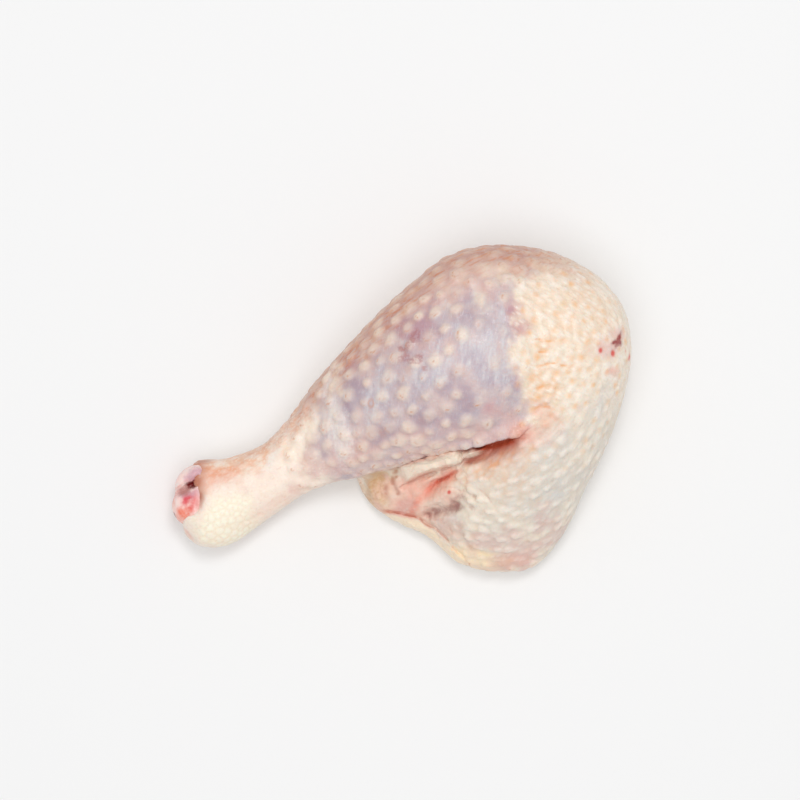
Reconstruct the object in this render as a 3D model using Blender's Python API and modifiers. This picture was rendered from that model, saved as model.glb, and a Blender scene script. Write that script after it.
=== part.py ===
"""A raw chicken leg quarter, drumstick and thigh in one piece, lying on its inner side.

Seen from above, the drumstick runs from the hock at lower left to the knee at upper right, and the
thigh folds back down from the knee, so that both meet in a deep crease. Metres, +Z up, with the
origin under the middle of the leg on the surface that it lies on.
"""

import math

import bpy
import bmesh
import numpy as np
from mathutils import Matrix, Vector

MM = 0.001

# Driving dimensions of the leg, in millimetres.
BELLY_HEIGHT = 51.0  # drumstick at its thickest
SHANK_HEIGHT = 21.0  # just above the hock
KNEE_HEIGHT = 48.5
THIGH_WIDTH = 53.5
THIGH_HEIGHT = 42.0
SINK = 1.6  # how far soft flesh flattens against the surface under it
SECTION_POWER = 2.25  # 2 is an ellipse, more is squarer
LEG_SIDES = 40

# Where things lie on the surface.
HOCK = Vector((-67.8, -29.5, 0.0))
DRUM_TURN = math.radians(28.55)  # the drumstick's direction, from +X
ALONG = Vector((math.cos(DRUM_TURN), math.sin(DRUM_TURN), 0.0))
ACROSS = Vector((-ALONG.y, ALONG.x, 0.0))  # towards the shin side, up and left

# The hock is sawn off across the joint, at a slant to the shank.
HOCK_CUT_POINT = Vector((-64.8, -26.0, 0.0))
HOCK_CUT_TURN = math.radians(160.5)  # the way the cut faces, from +X
SAW_SIZE = 60.0

# The bone that shows at the cut.
BONE_SHAFT = 7.0  # diameter
BONE_FLARE = 0.5  # how much wider the shaft is at both its ends
BONE_START = 6.0  # where the shaft begins, along the drumstick from the hock
BONE_REACH = 100.0  # length of the shaft
BONE_BOW = -4.6  # how far it bows towards the calf, to keep inside the slim shank
BOW_SHARE = 0.62  # share of its length that bows
BONE_RISE = 10.0  # the knee end lies this much higher
BONE_SIDES = 20
BONE_GAP = 0.35  # clearance between the bone and the flesh
NECK_PLACE = (7.0, 0.5)  # along and across the drumstick from the hock
NECK_RADII = (8.6, 6.2, 5.2)
CONDYLE_HEIGHT = 13.4
CONDYLE_LIFT = 13.2  # height of the joint's centre
# Each condyle's middle, length, width and direction, as seen from above.
CONDYLES = ((Vector((-66.5, -22.1, 0.0)), 12.0, 7.6, math.radians(48.0)),
            (Vector((-67.2, -31.4, 0.0)), 12.0, 9.8, math.radians(112.0)))

# How finely the forms are melted together, and how many triangles are kept.
LEG_VOXEL = 1.25
BONE_VOXEL = 0.9
LEG_SMOOTHING = 5
BONE_SMOOTHING = 3
LEG_TRIANGLES = 8400
BONE_TRIANGLES = 1100

# Drumstick stations: distance from the hock, reach to the shin side, reach to the calf side,
# height, and height of the middle.
DRUM = (
    (-6.0, -4.0, 8.0, 10.0, 10.5),
    (-4.0, 1.0, 12.4, 17.0, 11.5),
    (1.0, 7.6, 16.2, 22.0, 12.0),
    (7.6, 9.8, 17.6, 23.0, 12.4),
    (14.0, 7.3, 17.5, 22.0, 12.6),
    (26.5, 5.0, 16.1, SHANK_HEIGHT, 13.2),
    (33.0, 5.3, 15.3, SHANK_HEIGHT, 14.0),
    (39.0, 7.4, 15.6, 22.0, 15.0),
    (45.5, 10.1, 16.8, 25.0, 16.2),
    (52.0, 13.4, 19.0, 29.5, 17.5),
    (66.0, 18.6, 22.0, 39.5, 20.6),
    (83.0, 24.0, 27.2, 48.0, 23.6),
    (98.0, 27.4, 30.2, BELLY_HEIGHT, 24.8),
    (107.0, 29.0, 30.6, BELLY_HEIGHT, 24.6),
    (118.0, 27.4, 27.0, 48.5, 23.8),
    (129.0, 21.8, 21.0, 41.0, 22.6),
    (137.0, 12.0, 12.0, 26.0, 21.5),
)

# Knee and thigh stations, from the top of the knee down to the end of the thigh: place along Y,
# edge on the outer side, width, height, height of the middle, and how full the upper inner side
# is, from 2 for round down to 1 for a straight slope.
THIGH = (
    (51.4, 39.0, 14.0, 9.0, 21.5, SECTION_POWER),
    (48.8, 48.8, 33.0, 23.0, 21.8, SECTION_POWER),
    (42.5, 61.2, 52.0, 37.0, 22.0, SECTION_POWER),
    (32.5, 69.7, 63.0, 45.5, 22.2, SECTION_POWER),
    (21.5, 72.2, 65.0, KNEE_HEIGHT, 22.4, SECTION_POWER),
    (11.0, 71.6, 62.0, 46.5, 21.8, SECTION_POWER),
    (-1.5, 68.4, 58.0, 43.5, 20.4, 2.1),
    (-14.0, 63.6, THIGH_WIDTH, THIGH_HEIGHT, 19.2, 1.7),
    (-25.5, 57.8, 49.0, 37.5, 17.2, 1.35),
    (-36.0, 53.4, 44.0, 30.0, 14.4, 1.3),
    (-44.5, 48.2, 34.0, 20.5, 11.0, 1.4),
    (-49.2, 43.6, 24.0, 14.5, 9.2, 1.7),
    (-51.6, 39.6, 13.0, 7.0, 8.0, 2.0),
)

# The fat and loose skin beyond the thigh's meat: its outline as seen from above, the soft mound
# that slopes from the meat down to it, and the route of its rolled edge.
FLAP_OUTLINE = ((-9.4, -13.0), (-9.6, -25.6), (-1.8, -32.5), (10.2, -38.2), (21.0, -46.8),
                (36.0, -45.6), (38.0, -20.0), (14.0, -3.0))
FLAP_THICK = 9.6
FLAP_ROUND = 0.65  # share of that thickness in the rounded edges
MOUND_MIDDLE = Vector((11.0, -23.0, 7.5))
MOUND_RADII = (20.0, 14.0, 12.5)
MOUND_TURN = math.radians(-24.0)
RIM_THICK = 6.2
RIM_ROUTE = ((-2.0, -9.0, 14.0), (-7.6, -15.5, 13.6), (-8.8, -23.0, 12.0), (-4.6, -29.6, 10.4),
             (2.6, -33.4, 9.2), (10.0, -38.2, 8.2), (17.5, -44.0, 7.4), (25.0, -47.6, 7.4))

# The web of skin that comes out from under the drumstick and rolls over on itself.
WEB_ROUTE = ((26.0, -10.0, 24.0), (18.0, -13.4, 23.0), (10.0, -16.4, 21.5), (2.0, -18.6, 19.0),
             (-2.6, -22.4, 15.5), (-3.4, -27.6, 12.5))
WEB_THICK = 5.6
ROLL_TAPER = 0.62  # how thick a roll of skin still is at its ends

SKIN_COLOUR = (0.87, 0.69, 0.52, 1.0)
BONE_COLOUR = (0.86, 0.60, 0.56, 1.0)


def clear_scene():
    for obj in list(bpy.data.objects):
        bpy.data.objects.remove(obj, do_unlink=True)


def collection(name):
    made = bpy.data.collections.new(name)
    bpy.context.scene.collection.children.link(made)
    return made


def material(name, colour, roughness):
    made = bpy.data.materials.new(name)
    made.use_nodes = True
    shader = made.node_tree.nodes["Principled BSDF"]
    shader.inputs["Base Color"].default_value = colour
    shader.inputs["Roughness"].default_value = roughness
    shader.inputs["Metallic"].default_value = 0.0
    return made


def track(rows, steps):
    """Rows of numbers made `steps` times denser by a Catmull-Rom curve through every row."""
    rows = np.array(rows, float)
    ends = np.vstack([2 * rows[0] - rows[1], rows, 2 * rows[-1] - rows[-2]])
    dense = []
    for i in range(1, len(ends) - 2):
        before, start, end, after = ends[i - 1:i + 3]
        for step in range(steps):
            t = step / steps
            dense.append(0.5 * (2 * start + (end - before) * t
                                + (2 * before - 5 * start + 4 * end - after) * t * t
                                + (3 * start - before - 3 * end + after) * t ** 3))
    dense.append(rows[-1])
    return dense


def rounded(value, power):
    return math.copysign(abs(value) ** (2 / power), value)


def add_loft(mesh, sections, sides):
    """One closed body in the bmesh through sections of (centre, sideways vector, height, power).

    The power shapes the upper quarter on the side that the vector points to.
    """
    rings = []
    for centre, sideways, height, upper_power in sections:
        made = bmesh.ops.create_circle(mesh, segments=sides, radius=1.0)
        ring = made["verts"]
        for vert in ring:
            turn = math.atan2(vert.co.y, vert.co.x)
            power = upper_power if vert.co.x > 0.0 and vert.co.y > 0.0 else SECTION_POWER
            out = rounded(math.cos(turn), power)
            up = rounded(math.sin(turn), power)
            vert.co = centre + sideways * out + Vector((0.0, 0.0, height / 2 * up))
        rings.append(ring)
    for near, far in zip(rings, rings[1:]):
        loops = [edge for ring in (near, far) for edge in ring_edges(ring)]
        bmesh.ops.bridge_loops(mesh, edges=loops)
    for ring in (rings[0], rings[-1]):
        bmesh.ops.contextual_create(mesh, geom=ring_edges(ring))


def ring_edges(ring):
    inside = set(ring)
    found = {edge for vert in ring for edge in vert.link_edges
             if edge.verts[0] in inside and edge.verts[1] in inside}
    return sorted(found, key=lambda edge: (edge.verts[0].index, edge.verts[1].index))


def mesh_object(name, mesh, home):
    """A bmesh in millimetres as an object in metres."""
    bmesh.ops.recalc_face_normals(mesh, faces=mesh.faces)
    bmesh.ops.scale(mesh, vec=Vector((MM, MM, MM)), verts=mesh.verts)
    data = bpy.data.meshes.new(name)
    mesh.to_mesh(data)
    mesh.free()
    obj = bpy.data.objects.new(name, data)
    home.objects.link(obj)
    return obj


def drumstick(home):
    """The drumstick, whose sections stand across its own direction."""
    mesh = bmesh.new()
    sections = []
    for along, shin, calf, height, middle in track(DRUM, 3):
        centre = HOCK + ALONG * along + ACROSS * ((shin - calf) / 2)
        centre.z = middle
        sections.append((centre, ACROSS * ((shin + calf) / 2), height, SECTION_POWER))
    add_loft(mesh, sections, LEG_SIDES)
    return mesh_object("drumstick_form", mesh, home)


def thigh(home):
    """The knee and thigh, whose sections stand across Y."""
    mesh = bmesh.new()
    sections = []
    for place, outer, width, height, middle, fullness in track(THIGH, 3):
        centre = Vector((outer - width / 2, place, middle))
        sections.append((centre, Vector((-width / 2, 0.0, 0.0)), height, fullness))
    add_loft(mesh, sections, LEG_SIDES)
    return mesh_object("thigh_form", mesh, home)


def as_mesh(curve_object, home):
    """A curve object made a mesh with its caps welded on."""
    bpy.context.view_layer.update()
    graph = bpy.context.evaluated_depsgraph_get()
    data = bpy.data.meshes.new_from_object(curve_object.evaluated_get(graph))
    mesh = bmesh.new()
    mesh.from_mesh(data)
    bmesh.ops.remove_doubles(mesh, verts=mesh.verts, dist=0.01 * MM)
    bmesh.ops.recalc_face_normals(mesh, faces=mesh.faces)
    mesh.to_mesh(data)
    mesh.free()
    made = bpy.data.objects.new(curve_object.name + "_mesh", data)
    made.matrix_world = curve_object.matrix_world
    home.objects.link(made)
    bpy.data.objects.remove(curve_object)
    return made


def tube(name, route, thick, home):
    """A round roll of skin along a smooth route, thinner at both ends."""
    curve = bpy.data.curves.new(name, "CURVE")
    curve.dimensions = "3D"
    curve.bevel_depth = thick / 2 * MM
    curve.bevel_resolution = 3
    curve.use_fill_caps = True
    places = track(route, 4)
    spline = curve.splines.new("POLY")
    spline.points.add(len(places) - 1)
    for i, (point, place) in enumerate(zip(spline.points, places)):
        share = i / (len(places) - 1)
        point.co = (*(Vector(place) * MM), 1.0)
        point.radius = ROLL_TAPER + (1.0 - ROLL_TAPER) * math.sin(math.pi * share)
    obj = bpy.data.objects.new(name, curve)
    home.objects.link(obj)
    return as_mesh(obj, home)


def flap(home):
    """The sheet of skin that lies beyond the meat of the thigh."""
    curve = bpy.data.curves.new("flap_form", "CURVE")
    curve.dimensions = "2D"
    curve.fill_mode = "BOTH"
    curve.extrude = (1.0 - FLAP_ROUND) * FLAP_THICK / 2 * MM
    curve.bevel_depth = FLAP_ROUND * FLAP_THICK / 2 * MM
    curve.bevel_resolution = 3
    spline = curve.splines.new("BEZIER")
    spline.bezier_points.add(len(FLAP_OUTLINE) - 1)
    for point, place in zip(spline.bezier_points, FLAP_OUTLINE):
        point.co = (place[0] * MM, place[1] * MM, 0.0)
        point.handle_left_type = "AUTO"
        point.handle_right_type = "AUTO"
    spline.use_cyclic_u = True
    obj = bpy.data.objects.new("flap_form", curve)
    obj.location.z = FLAP_THICK / 2 * MM
    home.objects.link(obj)
    return as_mesh(obj, home)


def ball(mesh, centre, radii, turn):
    """An ellipsoid in the bmesh, turned about Z."""
    place = Matrix.Translation(centre) @ Matrix.Rotation(turn, 4, "Z")
    stretch = Matrix.Diagonal((*radii, 1.0))
    bmesh.ops.create_uvsphere(mesh, u_segments=28, v_segments=18, radius=1.0,
                              matrix=place @ stretch)


def mound(home):
    """The soft slope between the thigh's meat and the flap."""
    mesh = bmesh.new()
    ball(mesh, MOUND_MIDDLE, MOUND_RADII, MOUND_TURN)
    return mesh_object("mound_form", mesh, home)


def bone_form(home):
    """The shank bone: two condyles at the hock, the neck behind them and the shaft inside."""
    mesh = bmesh.new()
    lift = Vector((0.0, 0.0, CONDYLE_LIFT))
    for middle, length, width, turn in CONDYLES:
        ball(mesh, middle + lift, (length / 2, width / 2, CONDYLE_HEIGHT / 2), turn)
    neck = HOCK + ALONG * NECK_PLACE[0] + ACROSS * NECK_PLACE[1] + lift
    ball(mesh, neck, NECK_RADII, DRUM_TURN)
    sections = []
    for share in np.linspace(0.0, 1.0, 12):
        bow = BONE_BOW * math.sin(math.pi * min(1.0, share / BOW_SHARE))
        centre = HOCK + ALONG * (BONE_START + share * BONE_REACH) + ACROSS * bow
        centre.z = CONDYLE_LIFT + share * BONE_RISE
        width = BONE_SHAFT * (1.0 + BONE_FLARE * (2 * share - 1) ** 4)
        sections.append((centre, ACROSS * (width / 2), width, SECTION_POWER))
    add_loft(mesh, sections, BONE_SIDES)
    return mesh_object("shank_bone", mesh, home)


def grown_copy(obj, name, by, home):
    """A copy whose surface stands out from the original's by that much."""
    data = obj.data.copy()
    normals = [vert.normal.copy() for vert in data.vertices]
    for vert, normal in zip(data.vertices, normals):
        vert.co += normal * by * MM
    made = bpy.data.objects.new(name, data)
    home.objects.link(made)
    return made


def joined(name, pieces, home):
    """The pieces as one object of several bodies, still overlapping."""
    mesh = bmesh.new()
    for piece in pieces:
        data = piece.data.copy()
        data.transform(piece.matrix_world)
        mesh.from_mesh(data)
        bpy.data.objects.remove(piece)
    data = bpy.data.meshes.new(name)
    mesh.to_mesh(data)
    mesh.free()
    obj = bpy.data.objects.new(name, data)
    home.objects.link(obj)
    return obj


def fused(obj, voxel, smoothing, triangles):
    """The overlapping bodies melted into one skin, smoothed, and reduced to that many triangles."""
    remesh = obj.modifiers.new("melt", "REMESH")
    remesh.mode = "VOXEL"
    remesh.voxel_size = voxel * MM
    remesh.use_smooth_shade = True
    smooth = obj.modifiers.new("soften", "SMOOTH")
    smooth.factor = 0.5
    smooth.iterations = smoothing
    apply_modifiers(obj)
    obj.data.calc_loop_triangles()
    reduce = obj.modifiers.new("reduce", "DECIMATE")
    reduce.ratio = triangles / len(obj.data.loop_triangles)
    apply_modifiers(obj)


def apply_modifiers(obj):
    bpy.context.view_layer.update()
    graph = bpy.context.evaluated_depsgraph_get()
    data = bpy.data.meshes.new_from_object(obj.evaluated_get(graph))
    obj.modifiers.clear()
    obj.data = data


def set_down(obj):
    """The soft underside sinks by SINK and flattens on the surface that it lies on."""
    for vert in obj.data.vertices:
        vert.co.z = max(vert.co.z - SINK * MM, 0.0)


def cut(obj, cutter, name):
    modifier = obj.modifiers.new(name, "BOOLEAN")
    modifier.operation = "DIFFERENCE"
    modifier.object = cutter
    cutter.hide_render = True
    cutter.display_type = "WIRE"


def hock_saw(home):
    """A block whose inner face is the slanted cut through the hock joint."""
    mesh = bmesh.new()
    outward = Vector((math.cos(HOCK_CUT_TURN), math.sin(HOCK_CUT_TURN), 0.0))
    place = Matrix.Translation(HOCK_CUT_POINT + outward * (SAW_SIZE / 2))
    turn = Matrix.Rotation(HOCK_CUT_TURN, 4, "Z")
    bmesh.ops.create_cube(mesh, size=SAW_SIZE, matrix=place @ turn)
    return mesh_object("hock_saw", mesh, home)


def recentre(objects):
    """Moves everything so that the origin lies under the middle of the leg."""
    bpy.context.view_layer.update()
    graph = bpy.context.evaluated_depsgraph_get()
    corners = []
    for obj in objects:
        if not obj.hide_render:
            corners += [np.array(vert.co) for vert in obj.evaluated_get(graph).data.vertices]
    low, high = np.min(corners, axis=0), np.max(corners, axis=0)
    shift = Vector((-(low[0] + high[0]) / 2, -(low[1] + high[1]) / 2, -low[2]))
    for obj in objects:
        obj.data.transform(Matrix.Translation(shift))
    print("moved by", [round(value / MM, 2) for value in shift], "mm")


def main():
    clear_scene()
    part = collection("raw_chicken_leg")
    cutters = collection("cutters")

    leg = joined("leg_meat", [drumstick(part), thigh(part), flap(part), mound(part),
                              tube("rim", RIM_ROUTE, RIM_THICK, part),
                              tube("web", WEB_ROUTE, WEB_THICK, part)], part)
    fused(leg, LEG_VOXEL, LEG_SMOOTHING, LEG_TRIANGLES)
    set_down(leg)

    bone = bone_form(part)
    fused(bone, BONE_VOXEL, BONE_SMOOTHING, BONE_TRIANGLES)
    socket = grown_copy(bone, "bone_socket", BONE_GAP, cutters)
    saw = hock_saw(cutters)

    cut(leg, saw, "saw the hock")
    cut(leg, socket, "room for the bone")
    recentre([leg, bone, socket, saw])

    leg.data.materials.append(material("skin", SKIN_COLOUR, 0.42))
    bone.data.materials.append(material("cartilage", BONE_COLOUR, 0.3))
    for obj in (leg, bone):
        obj.data.shade_smooth()


main()
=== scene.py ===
# %% [markdown]
# # A raw chicken leg
#
# The leg is a drumstick and a thigh, folded together at the knee under one loose skin. It lies on
# its inner side, and at the hock, where the foot was cut off, the end of the shank bone shows.
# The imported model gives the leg's true size and two solids: the meat and the bone. This lesson
# gives each of them its finished surface.

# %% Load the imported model
import math

import bmesh
import bpy
import numpy as np
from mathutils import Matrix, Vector, noise
from mathutils.kdtree import KDTree


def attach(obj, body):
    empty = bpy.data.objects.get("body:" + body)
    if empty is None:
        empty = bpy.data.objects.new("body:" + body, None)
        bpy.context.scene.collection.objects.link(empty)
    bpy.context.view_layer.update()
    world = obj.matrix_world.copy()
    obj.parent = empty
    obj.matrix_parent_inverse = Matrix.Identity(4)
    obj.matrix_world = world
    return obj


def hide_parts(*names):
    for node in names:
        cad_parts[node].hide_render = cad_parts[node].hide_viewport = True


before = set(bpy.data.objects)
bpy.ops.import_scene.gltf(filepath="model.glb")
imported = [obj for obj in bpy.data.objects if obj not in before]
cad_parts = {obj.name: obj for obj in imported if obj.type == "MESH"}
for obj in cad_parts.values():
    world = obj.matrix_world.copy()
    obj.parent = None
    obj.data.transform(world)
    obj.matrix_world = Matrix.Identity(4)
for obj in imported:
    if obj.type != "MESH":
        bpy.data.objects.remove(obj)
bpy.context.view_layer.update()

MM = 0.001

# %% [markdown]
# ## The table, the camera and the light
#
# The leg is looked at from straight above, through a long lens, so that its sides hardly show. Raw
# skin looks best in soft light: a large lamp overhead and a bright room leave only a soft shadow
# all round where the meat curves under. A smaller lamp at the upper right gives the small wet
# glints and the shadow under the drumstick's lower edge.

# %% Camera
LOOK_WIDTH = 0.252  # how much of the table the view spans
LOOK_HEIGHT = 1  # from the widest part of the leg up to the lens
GIRTH_HEIGHT = 0.020  # where the leg is widest
LOOK_AT = (-0.0006, 0.0030)

camera_data = bpy.data.cameras.new("camera")
camera_data.sensor_width = 36
camera_data.lens = camera_data.sensor_width * LOOK_HEIGHT / LOOK_WIDTH
camera_data.clip_start = 0.01
camera = bpy.data.objects.new("camera", camera_data)
camera.location = (*LOOK_AT, GIRTH_HEIGHT + LOOK_HEIGHT)
bpy.context.scene.collection.objects.link(camera)
bpy.context.scene.camera = camera
print("lens", round(camera_data.lens, 1), "mm")

# %% Lamps and room
ROOM_STRENGTH = 0.56
bpy.context.scene.view_settings.view_transform = "Standard"


def lamp(name, place, size, power):
    """A square soft lamp that points at the leg."""
    data = bpy.data.lights.new(name, "AREA")
    data.size = size
    data.energy = power
    made = bpy.data.objects.new(name, data)
    made.location = place
    way = Vector((0, 0, GIRTH_HEIGHT)) - Vector(place)
    made.rotation_euler = way.to_track_quat("-Z", "Y").to_euler()
    bpy.context.scene.collection.objects.link(made)


lamp("overhead", (-0.1, -0.25, 1.5), 1, 6.6)
lamp("key", (0.10, 0.34, 1.15), 0.3, 3.5)

room = bpy.data.worlds.new("room")
room.use_nodes = True
room.node_tree.nodes["Background"].inputs["Color"].default_value = (1, 1, 1, 1)
room.node_tree.nodes["Background"].inputs["Strength"].default_value = ROOM_STRENGTH
bpy.context.scene.world = room

# %% [markdown]
# ## Writing finishes as plain sums
#
# A finish is a web of shader nodes. Wiring it by hand is long and hard to read, so two small
# helpers stand in: a wire is a node's output that can be added, multiplied and compared as if it
# were a number, and a finish puts down any other node from its kind, settings and sockets.

# %% Wires
class Wire:
    """A node's output, which sums and products turn into Math nodes."""

    def __init__(self, finish, socket):
        self.finish = finish
        self.socket = socket

    def sum(self, kind, *values):
        return self.finish.put("Math", {"operation": kind}, dict(enumerate(values)))

    def __add__(self, other):
        return self.sum("ADD", self, other)

    def __sub__(self, other):
        return self.sum("SUBTRACT", self, other)

    def __rsub__(self, other):
        return self.sum("SUBTRACT", other, self)

    def __mul__(self, other):
        return self.sum("MULTIPLY", self, other)

    __radd__ = __add__
    __rmul__ = __mul__

    def band(self, low, high):
        """0 below low, 1 above high, and a smooth rise between them."""
        sockets = {"Value": self, "From Min": low, "From Max": high}
        return self.finish.put("MapRange", {"interpolation_type": "SMOOTHSTEP"}, sockets)


# %% Finishes
class Finish:
    """A material and the web of nodes that makes it."""

    def __init__(self, name):
        self.material = bpy.data.materials.new(name)
        self.material.use_nodes = True
        self.tree = self.material.node_tree
        self.tree.nodes.clear()
        self.place = self.put("TexCoord", output="Object")

    def put(self, kind, settings=(), sockets=(), output=0):
        """Adds one node, sets it, feeds its sockets, and gives one of its outputs."""
        node = self.tree.nodes.new("ShaderNode" + kind)
        for name, value in dict(settings).items():
            setattr(node, name, value)
        for name, value in dict(sockets).items():
            if isinstance(value, Wire):
                self.tree.links.new(value.socket, node.inputs[name])
            else:
                node.inputs[name].default_value = value
        return Wire(self, node.outputs[output])

    def layer(self, name):
        """What was painted on the net under that name."""
        return self.put("Attribute", {"attribute_name": name}, output="Fac")

    def mix(self, share, under, over):
        """One colour laid over another."""
        return self.put("Mix", {"data_type": "RGBA"}, {0: share, 6: under, 7: over}, output=2)

    def coats(self, colour, *rows):
        """Several colours laid over one another, each row a share and its colour."""
        for share, over in rows:
            colour = self.mix(share, colour, over)
        return colour

    def pattern(self, size, stretch, turn):
        """The sockets of a pattern of that size in millimetres, stretched and turned."""
        sockets = {"Vector": self.place, "Scale": stretch, "Rotation": turn}
        place = self.put("Mapping", {"vector_type": "TEXTURE"}, sockets)
        return {"Vector": place, "Scale": 1 / (size * MM)}

    def grain(self, size, detail=2, stretch=(1, 1, 1), turn=(0, 0, 0)):
        """Cloudy noise around 0.5 with features of that size."""
        return self.put("TexNoise", (), {**self.pattern(size, stretch, turn), "Detail": detail})

    def cells(self, size, stretch=(1, 1, 1), turn=(0, 0, 0)):
        """How far each point is from the middle of its cell, for cells of that size."""
        return self.put("TexVoronoi", (), self.pattern(size, stretch, turn), output="Distance")

    def bump(self, height, strength, reach, under=None):
        """Fine relief of that height field, reach millimetres deep at full strength."""
        sockets = {"Height": height, "Strength": strength, "Distance": reach * MM}
        if under:
            sockets["Normal"] = under
        return self.put("Bump", (), sockets, output="Normal")

    def shade(self, settings):
        """The shader itself, from its sockets, and the way out."""
        shader = self.put("BsdfPrincipled", (), settings)
        out = self.tree.nodes.new("ShaderNodeOutputMaterial")
        self.tree.links.new(shader.socket, out.inputs["Surface"])
        print(self.material.name, "has", len(self.tree.nodes), "nodes")
        return self.material


# %% Colours
def seen(red, green, blue):
    """A colour as the eye sees it, from 0 to 255, as the shader's linear colour."""
    shares = [value / 255 for value in (red, green, blue)]
    return tuple(share / 12.92 if share < 0.04 else ((share + 0.055) / 1.055) ** 2.4
                 for share in shares) + (1,)


# %% The table
TABLE_SIZE = 6
TABLE_WHITE = (0.9, 0.9, 0.9, 1)


def as_object(name, mesh):
    """A bmesh as an object in the scene."""
    data = bpy.data.meshes.new(name)
    mesh.to_mesh(data)
    mesh.free()
    data.shade_smooth()
    made = bpy.data.objects.new(name, data)
    bpy.context.scene.collection.objects.link(made)
    return made


form = bmesh.new()
bmesh.ops.create_grid(form, x_segments=1, y_segments=1, size=TABLE_SIZE / 2)
table = as_object("table", form)
table.data.materials.append(Finish("table_top").shade({"Base Color": TABLE_WHITE, "Roughness": 0.9}))

# %% [markdown]
# ## The form under the skin
#
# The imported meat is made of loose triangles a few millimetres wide. They could be cut finer as they
# are, but long thin triangles crease when they're pushed about. So a copy is welded, the room for
# the bone is filled, the hock is sawn flat, and the whole is melted into an even net of small
# squares. Where the leg looks up, the squares are halved, so that pimples come out crisp there and
# the plain underside stays light. Beside the deepest folds they'll be halved once more.

# %% Weld a copy of the meat and saw the hock
SAW_TURN = math.radians(160.5)
SAW_PLACE = Vector((-64.8, -26, 13)) * MM
SAW_WAY = Vector((math.cos(SAW_TURN), math.sin(SAW_TURN), 0))
NET = 1.14 * MM
SAW_KERF = 0.05 * MM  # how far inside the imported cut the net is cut
BONE_ROOM = 0.6 * MM  # how far the filling laps into the meat round the bone


def welded(mesh, node, grow=0):
    """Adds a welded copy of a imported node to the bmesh, grown a little if need be."""
    copy = bmesh.new()
    copy.from_mesh(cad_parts[node].data)
    bmesh.ops.remove_doubles(copy, verts=copy.verts, dist=0.01 * MM)
    copy.normal_update()
    for vert in copy.verts:
        vert.co += vert.normal * grow
    data = bpy.data.meshes.new("copy")
    copy.to_mesh(data)
    copy.free()
    mesh.from_mesh(data)
    bpy.data.meshes.remove(data)


def settle(obj):
    """Applies the object's modifiers to its mesh."""
    bpy.context.view_layer.update()
    graph = bpy.context.evaluated_depsgraph_get()
    data = bpy.data.meshes.new_from_object(obj.evaluated_get(graph))
    obj.modifiers.clear()
    obj.data = data


def smoothed(obj, times):
    """Relaxes the whole net that many times."""
    smooth = obj.modifiers.new("smooth", "SMOOTH")
    smooth.factor = 0.5
    smooth.iterations = times
    settle(obj)


def melt(obj, voxel, smoothing):
    """Melts the bodies of an object into one even net of squares and smooths it."""
    remesh = obj.modifiers.new("melt", "REMESH")
    remesh.mode = "VOXEL"
    remesh.voxel_size = voxel
    remesh.use_smooth_shade = True
    smoothed(obj, smoothing)


def halve(obj, wanted):
    """Halves the squares for which wanted(face) is true."""
    mesh = bmesh.new()
    mesh.from_mesh(obj.data)
    mesh.normal_update()
    edges = {edge for face in mesh.faces if wanted(face) for edge in face.edges}
    edges = sorted(edges, key=lambda edge: edge.index)
    bmesh.ops.subdivide_edges(mesh, edges=edges, cuts=1, use_grid_fill=True)
    mesh.to_mesh(obj.data)
    mesh.free()


def triangles(obj):
    obj.data.calc_loop_triangles()
    return len(obj.data.loop_triangles)


form = bmesh.new()
welded(form, "leg_meat")
welded(form, "shank_bone", grow=BONE_ROOM)
bmesh.ops.bisect_plane(form, geom=form.verts[:] + form.edges[:] + form.faces[:], dist=0.001 * MM,
                       plane_co=SAW_PLACE - SAW_WAY * SAW_KERF, plane_no=SAW_WAY, clear_outer=True)
bmesh.ops.holes_fill(form, edges=form.edges[:], sides=0)
skin = as_object("leg_skin", form)
melt(skin, NET, smoothing=14)
halve(skin, lambda face: face.normal.z > 0)
smoothed(skin, times=5)
print("the net has", len(skin.data.vertices), "points")

# %% [markdown]
# ## Working the net like clay
#
# Soft folds could be sculpted by hand with brushes, but then no number says how deep one is or
# lets it be changed. Here they are pushed into the net by distances worked out at every point, all
# points at once. Most follow a route that is drawn on the leg as seen from above: near the route
# the skin rises or sinks, by an amount that fades to both sides and along it. The same routes
# later say where a fold is dark or a groove is red, so form and colour stay together.

# %% Smooth rises and humps
def rise(value, start, end):
    """Goes smoothly from 0 at start to 1 at end."""
    share = np.clip((value - start) / (end - start), 0, 1)
    return share * share * (3 - 2 * share)


def hump(distance, width):
    """A round-topped rise of that full width, 1 in its middle."""
    return 0.5 + 0.5 * np.cos(np.pi * np.clip(np.abs(distance) * 2 / width, 0, 1))


def fading(distance, reach):
    """1 at the edge, fading away from it over about that reach."""
    return np.exp(-np.maximum(distance, 0) / reach)


def most(*layers):
    """The strongest of several layers at each point."""
    return np.maximum.reduce(layers)


def percent(layer):
    """How much of the net a layer covers."""
    return f"{100 * float(np.mean(layer)):.0f} %"


# %% The clay
BLUR = 0.95  # how soft the border of a patch of colour is


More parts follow.
